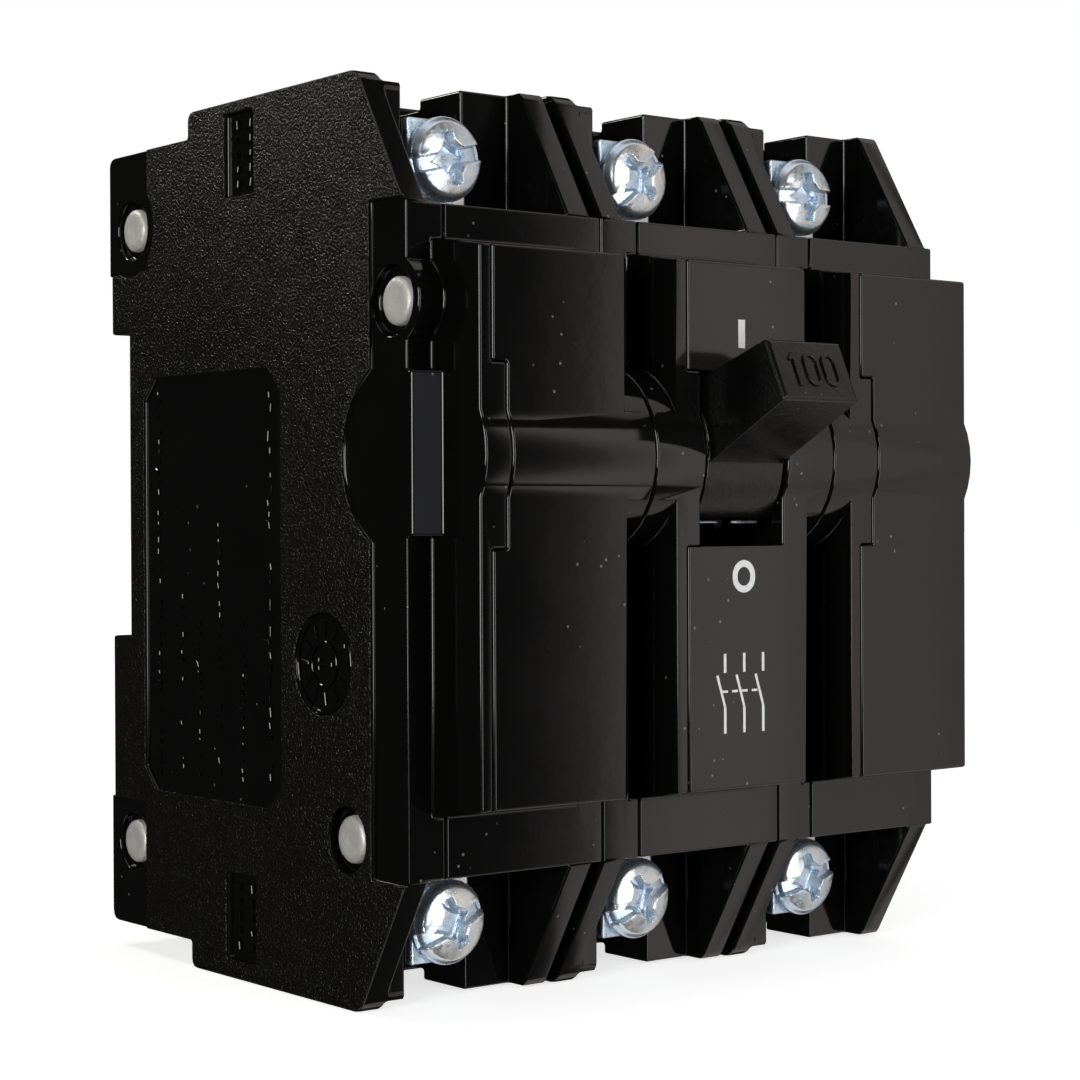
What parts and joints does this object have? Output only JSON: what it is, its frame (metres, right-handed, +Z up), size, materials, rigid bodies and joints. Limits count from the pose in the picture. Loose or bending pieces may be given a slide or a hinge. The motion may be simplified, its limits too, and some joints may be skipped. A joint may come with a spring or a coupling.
{
  "type": "three-pole moulded-case circuit breaker",
  "caption": "Rail-mounting circuit breaker with joined pole cases, a tilting handle, front screw terminals at both ends and a working contact mechanism inside.",
  "frame": {"origin": "centre of the flat floor of the rail slot, on the middle pole's back", "axes": "+X across the poles to the right as seen from the handle side, +Z up along the tall side, +Y out of the back into the mounting rail; the handle side faces -Y"},
  "size_m": [0.076, 0.0811, 0.0958],
  "materials": {
    "moulding": "black thermoset moulding, satin with a fine spark-eroded grain on the outer sides",
    "handle_black": "smooth satin black",
    "zinc": "bright zinc plate with a faint blue passivation",
    "rivet_steel": "dull light grey steel",
    "tinned_strap": "tinned copper strap",
    "copper": "plain copper",
    "sheet_steel": "plain sheet steel",
    "spring_steel": "spring wire",
    "clip_plastic": "matt black nylon"
  },
  "bodies": {
    "root": {"pole_1_base": "moulding", "pole_1_cover": "moulding", "line_terminal_1": "tinned_strap", "load_terminal_1": "tinned_strap", "arc_chute_1": "sheet_steel", "bimetal_1": "sheet_steel", "magnet_yoke_1": "sheet_steel", "braid_1": "copper", "main_spring_1": "spring_steel", "pole_2_base": "moulding", "pole_2_cover": "moulding", "line_terminal_2": "tinned_strap", "load_terminal_2": "tinned_strap", "arc_chute_2": "sheet_steel", "bimetal_2": "sheet_steel", "magnet_yoke_2": "sheet_steel", "braid_2": "copper", "main_spring_2": "spring_steel", "pole_3_base": "moulding", "pole_3_cover": "moulding", "line_terminal_3": "tinned_strap", "load_terminal_3": "tinned_strap", "arc_chute_3": "sheet_steel", "bimetal_3": "sheet_steel", "magnet_yoke_3": "sheet_steel", "braid_3": "copper", "main_spring_3": "spring_steel", "case_rivet_1": "rivet_steel", "case_rivet_2": "rivet_steel", "case_rivet_3": "rivet_steel", "case_rivet_4": "rivet_steel"},
    "handle": {"handle_lever": "handle_black", "cross_bar": "handle_black"},
    "trip_bar": {"trip_bar": "handle_black"},
    "contact_arm_1": {"contact_arm_1": "copper"},
    "toggle_link_1": {"toggle_link_1": "sheet_steel"},
    "armature_1": {"armature_1": "sheet_steel"},
    "rail_clip_1": {"rail_clip_1": "clip_plastic"},
    "line_clamp_1": {"line_clamp_1": "zinc"},
    "line_screw_1": {"line_screw_1": "zinc"},
    "load_clamp_1": {"load_clamp_1": "zinc"},
    "load_screw_1": {"load_screw_1": "zinc"},
    "contact_arm_2": {"contact_arm_2": "copper"},
    "toggle_link_2": {"toggle_link_2": "sheet_steel"},
    "armature_2": {"armature_2": "sheet_steel"},
    "rail_clip_2": {"rail_clip_2": "clip_plastic"},
    "line_clamp_2": {"line_clamp_2": "zinc"},
    "line_screw_2": {"line_screw_2": "zinc"},
    "load_clamp_2": {"load_clamp_2": "zinc"},
    "load_screw_2": {"load_screw_2": "zinc"},
    "contact_arm_3": {"contact_arm_3": "copper"},
    "toggle_link_3": {"toggle_link_3": "sheet_steel"},
    "armature_3": {"armature_3": "sheet_steel"},
    "rail_clip_3": {"rail_clip_3": "clip_plastic"},
    "line_clamp_3": {"line_clamp_3": "zinc"},
    "line_screw_3": {"line_screw_3": "zinc"},
    "load_clamp_3": {"load_clamp_3": "zinc"},
    "load_screw_3": {"load_screw_3": "zinc"}
  },
  "joints": [
    {"name": "handle_tilt", "type": "hinge", "parent": "root", "child": "handle", "pos_m": [0, -0.05465, 0.00224], "axis": [1, 0, 0], "range_deg": [0, 48]},
    {"name": "trip_turn", "type": "hinge", "parent": "root", "child": "trip_bar", "pos_m": [0, -0.01735, 0.00259], "axis": [-1, 0, 0], "range_deg": [0, 10], "stiffness_Nm_per_rad": 0.01, "springref_deg": -5.73},
    {"name": "contact_swing_1", "type": "hinge", "parent": "root", "child": "contact_arm_1", "pos_m": [-0.0254, -0.02955, -0.01242], "axis": [-1, 0, 0], "range_deg": [0, 25.1], "deforming": ["main_spring_1", "braid_1"]},
    {"name": "link_swing_1", "type": "hinge", "parent": "contact_arm_1", "child": "toggle_link_1", "pos_m": [-0.0254, -0.03151, -0.00129], "axis": [1, 0, 0], "range_deg": [0, 25.1]},
    {"name": "armature_pull_1", "type": "hinge", "parent": "root", "child": "armature_1", "pos_m": [-0.0254, -0.01545, -0.00741], "axis": [1, 0, 0], "range_deg": [0, 5], "stiffness_Nm_per_rad": 0.01, "springref_deg": -5.73},
    {"name": "clip_slide_1", "type": "slide", "parent": "root", "child": "rail_clip_1", "axis": [0, 0, -1], "range_m": [0, 0.003], "stiffness_N_per_m": 1500, "springref_m": -0.001},
    {"name": "line_clamp_slide_1", "type": "slide", "parent": "root", "child": "line_clamp_1", "axis": [0, -1, 0], "range_m": [0, 0.004]},
    {"name": "line_screw_turn_1", "type": "hinge", "parent": "line_clamp_1", "child": "line_screw_1", "pos_m": [-0.0284, -0.05125, 0.03288], "axis": [0, 1, 0], "range_deg": [-1800, 0]},
    {"name": "load_clamp_slide_1", "type": "slide", "parent": "root", "child": "load_clamp_1", "axis": [0, -1, 0], "range_m": [0, 0.004]},
    {"name": "load_screw_turn_1", "type": "hinge", "parent": "load_clamp_1", "child": "load_screw_1", "pos_m": [-0.0284, -0.05125, -0.04571], "axis": [0, 1, 0], "range_deg": [-1800, 0]},
    {"name": "contact_swing_2", "type": "hinge", "parent": "root", "child": "contact_arm_2", "pos_m": [0, -0.02955, -0.01242], "axis": [-1, 0, 0], "range_deg": [0, 25.1], "deforming": ["main_spring_2", "braid_2"]},
    {"name": "link_swing_2", "type": "hinge", "parent": "contact_arm_2", "child": "toggle_link_2", "pos_m": [0, -0.03151, -0.00129], "axis": [1, 0, 0], "range_deg": [0, 25.1]},
    {"name": "armature_pull_2", "type": "hinge", "parent": "root", "child": "armature_2", "pos_m": [0, -0.01545, -0.00741], "axis": [1, 0, 0], "range_deg": [0, 5], "stiffness_Nm_per_rad": 0.01, "springref_deg": -5.73},
    {"name": "clip_slide_2", "type": "slide", "parent": "root", "child": "rail_clip_2", "axis": [0, 0, -1], "range_m": [0, 0.003], "stiffness_N_per_m": 1500, "springref_m": -0.001},
    {"name": "line_clamp_slide_2", "type": "slide", "parent": "root", "child": "line_clamp_2", "axis": [0, -1, 0], "range_m": [0, 0.004]},
    {"name": "line_screw_turn_2", "type": "hinge", "parent": "line_clamp_2", "child": "line_screw_2", "pos_m": [-0.003, -0.05125, 0.03288], "axis": [0, 1, 0], "range_deg": [-1800, 0]},
    {"name": "load_clamp_slide_2", "type": "slide", "parent": "root", "child": "load_clamp_2", "axis": [0, -1, 0], "range_m": [0, 0.004]},
    {"name": "load_screw_turn_2", "type": "hinge", "parent": "load_clamp_2", "child": "load_screw_2", "pos_m": [-0.003, -0.05125, -0.04571], "axis": [0, 1, 0], "range_deg": [-1800, 0]},
    {"name": "contact_swing_3", "type": "hinge", "parent": "root", "child": "contact_arm_3", "pos_m": [0.0254, -0.02955, -0.01242], "axis": [-1, 0, 0], "range_deg": [0, 25.1], "deforming": ["main_spring_3", "braid_3"]},
    {"name": "link_swing_3", "type": "hinge", "parent": "contact_arm_3", "child": "toggle_link_3", "pos_m": [0.0254, -0.03151, -0.00129], "axis": [1, 0, 0], "range_deg": [0, 25.1]},
    {"name": "armature_pull_3", "type": "hinge", "parent": "root", "child": "armature_3", "pos_m": [0.0254, -0.01545, -0.00741], "axis": [1, 0, 0], "range_deg": [0, 5], "stiffness_Nm_per_rad": 0.01, "springref_deg": -5.73},
    {"name": "clip_slide_3", "type": "slide", "parent": "root", "child": "rail_clip_3", "axis": [0, 0, -1], "range_m": [0, 0.003], "stiffness_N_per_m": 1500, "springref_m": -0.001},
    {"name": "line_clamp_slide_3", "type": "slide", "parent": "root", "child": "line_clamp_3", "axis": [0, -1, 0], "range_m": [0, 0.004]},
    {"name": "line_screw_turn_3", "type": "hinge", "parent": "line_clamp_3", "child": "line_screw_3", "pos_m": [0.0224, -0.05125, 0.03288], "axis": [0, 1, 0], "range_deg": [-1800, 0]},
    {"name": "load_clamp_slide_3", "type": "slide", "parent": "root", "child": "load_clamp_3", "axis": [0, -1, 0], "range_m": [0, 0.004]},
    {"name": "load_screw_turn_3", "type": "hinge", "parent": "load_clamp_3", "child": "load_screw_3", "pos_m": [0.0224, -0.05125, -0.04571], "axis": [0, 1, 0], "range_deg": [-1800, 0]}
  ],
  "couplings": [
    {"joint": "contact_swing_1", "follows": "handle_tilt", "ratio": 0.52083},
    {"joint": "link_swing_1", "follows": "handle_tilt", "ratio": 0.52083},
    {"joint": "line_screw_turn_1", "follows": "line_clamp_slide_1", "rad_per_m": -7853.9},
    {"joint": "load_screw_turn_1", "follows": "load_clamp_slide_1", "rad_per_m": -7853.9},
    {"joint": "contact_swing_2", "follows": "handle_tilt", "ratio": 0.52083},
    {"joint": "link_swing_2", "follows": "handle_tilt", "ratio": 0.52083},
    {"joint": "line_screw_turn_2", "follows": "line_clamp_slide_2", "rad_per_m": -7853.9},
    {"joint": "load_screw_turn_2", "follows": "load_clamp_slide_2", "rad_per_m": -7853.9},
    {"joint": "contact_swing_3", "follows": "handle_tilt", "ratio": 0.52083},
    {"joint": "link_swing_3", "follows": "handle_tilt", "ratio": 0.52083},
    {"joint": "line_screw_turn_3", "follows": "line_clamp_slide_3", "rad_per_m": -7853.9},
    {"joint": "load_screw_turn_3", "follows": "load_clamp_slide_3", "rad_per_m": -7853.9}
  ]
}
